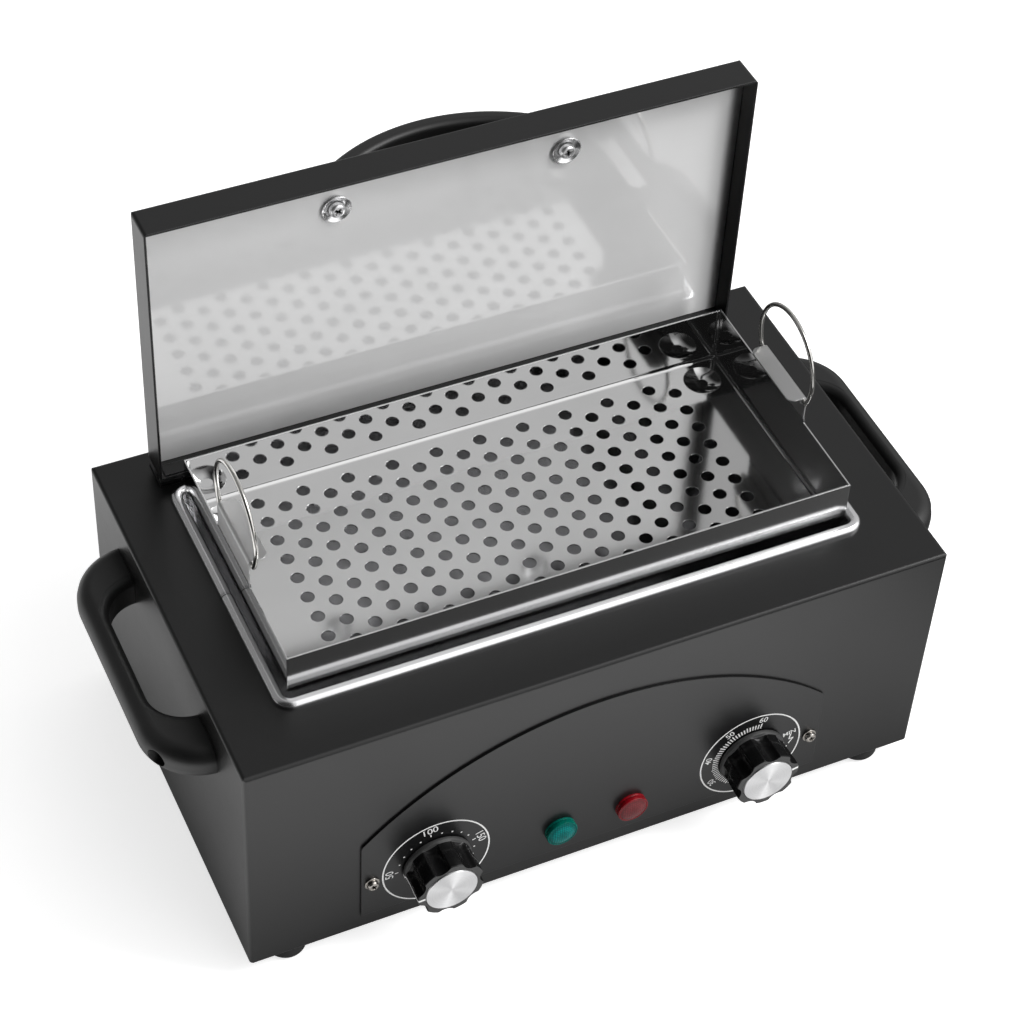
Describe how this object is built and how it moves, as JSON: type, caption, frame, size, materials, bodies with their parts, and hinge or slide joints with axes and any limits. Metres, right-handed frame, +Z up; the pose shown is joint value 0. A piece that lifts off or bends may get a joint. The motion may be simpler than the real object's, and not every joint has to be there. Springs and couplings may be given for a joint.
{
  "type": "dry heat sterilizer",
  "caption": "Black bench-top box with a hinged lid, a lifted perforated steel basket over a heated chamber, two dials and carrying handles.",
  "frame": {"origin": "centre of the footprint on the plane the rubber feet stand on", "axes": "+X to the right seen from the front, +Y to the back where the lid is hinged, +Z up"},
  "size_m": [0.3704, 0.2227, 0.2757],
  "materials": {
    "black_paint": "satin, fine texture",
    "white_print": "screen print",
    "panel_film": "matte",
    "black_plastic": "satin",
    "knob_plastic": "glossy",
    "polished_steel": "polished",
    "tray_steel": "bright, lightly rolled",
    "wire_steel": "bright drawn wire",
    "spun_cap": "spun",
    "zinc_plated": "zinc plated",
    "nickel_screw": "nickel plated",
    "rubber": "matte",
    "green_plastic": "glossy, translucent",
    "red_plastic": "glossy, translucent",
    "white_plastic": "satin",
    "mineral_wool": "matte",
    "mica": "layered",
    "copper_tube": "drawn",
    "lead_sleeve": "matte",
    "phenolic": "satin"
  },
  "bodies": {
    "body": {"case_shell": "black_paint", "base_plate": "black_paint", "base_screws": "zinc_plated", "feet": "rubber", "foot_screws": "zinc_plated", "foot_nuts": "zinc_plated", "control_panel": "panel_film", "panel_screws": "nickel_screw", "panel_washers": "nickel_screw", "chamber_tub": "polished_steel", "chamber_rim": "polished_steel", "chamber_insulation": "mineral_wool", "heater_plate": "mica", "heater_clamp": "zinc_plated", "heater_nuts": "zinc_plated", "thermal_cutout": "phenolic", "thermostat_body": "zinc_plated", "thermostat_bulb": "copper_tube", "timer_body": "white_plastic", "control_screws": "zinc_plated", "green_lens": "green_plastic", "red_lens": "red_plastic", "lamp_holders": "white_plastic", "side_handle_left": "black_plastic", "side_handle_right": "black_plastic", "handle_screws": "zinc_plated", "handle_nuts": "zinc_plated", "hinge_bases": "black_paint", "hinge_base_screws": "zinc_plated", "hinge_pins": "zinc_plated", "power_inlet": "black_plastic", "inlet_pins": "nickel_screw", "inlet_screws": "zinc_plated", "wiring": "lead_sleeve", "earth_stud": "zinc_plated"},
    "lid": {"lid_cover": "black_paint", "lid_liner": "polished_steel", "lid_insulation": "mineral_wool", "lid_hinge_leaves": "black_paint", "lid_hinge_strips": "black_paint", "lid_handle": "black_plastic", "lid_handle_screws": "nickel_screw", "lid_cup_washers": "polished_steel"},
    "basket": {"basket_floor": "tray_steel", "basket_walls": "tray_steel"},
    "ring_left": {"ring_left": "wire_steel"},
    "ring_right": {"ring_right": "wire_steel"},
    "thermostat_dial": {"thermostat_knob": "knob_plastic", "thermostat_cap": "spun_cap", "thermostat_shaft": "zinc_plated"},
    "timer_dial": {"timer_knob": "knob_plastic", "timer_cap": "spun_cap", "timer_shaft": "zinc_plated"}
  },
  "joints": [
    {"name": "lid_hinge", "type": "hinge", "parent": "body", "child": "lid", "pos_m": [0, 0.0707, 0.1365], "axis": [1, 0, 0], "range_deg": [0, 90]},
    {"name": "basket_lift", "type": "slide", "parent": "body", "child": "basket", "axis": [0, 0, -1], "range_m": [0, 0.06]},
    {"name": "ring_left_fold", "type": "hinge", "parent": "basket", "child": "ring_left", "pos_m": [-0.12624, 0.001, 0.16774], "axis": [0, 1, 0], "range_deg": [0, 150]},
    {"name": "ring_right_fold", "type": "hinge", "parent": "basket", "child": "ring_right", "pos_m": [0.12624, 0.001, 0.16774], "axis": [0, -1, 0], "range_deg": [0, 150]},
    {"name": "thermostat_turn", "type": "hinge", "parent": "body", "child": "thermostat_dial", "pos_m": [-0.0759, -0.093, 0.0399], "axis": [0, 1, 0], "range_deg": [0, 243]},
    {"name": "timer_turn", "type": "hinge", "parent": "body", "child": "timer_dial", "pos_m": [0.0747, -0.093, 0.0399], "axis": [0, 1, 0], "range_deg": [0, 289]}
  ],
  "couplings": [
    {"joint": "basket_lift", "follows": "lid_hinge", "m_per_rad": 0.038197}
  ]
}
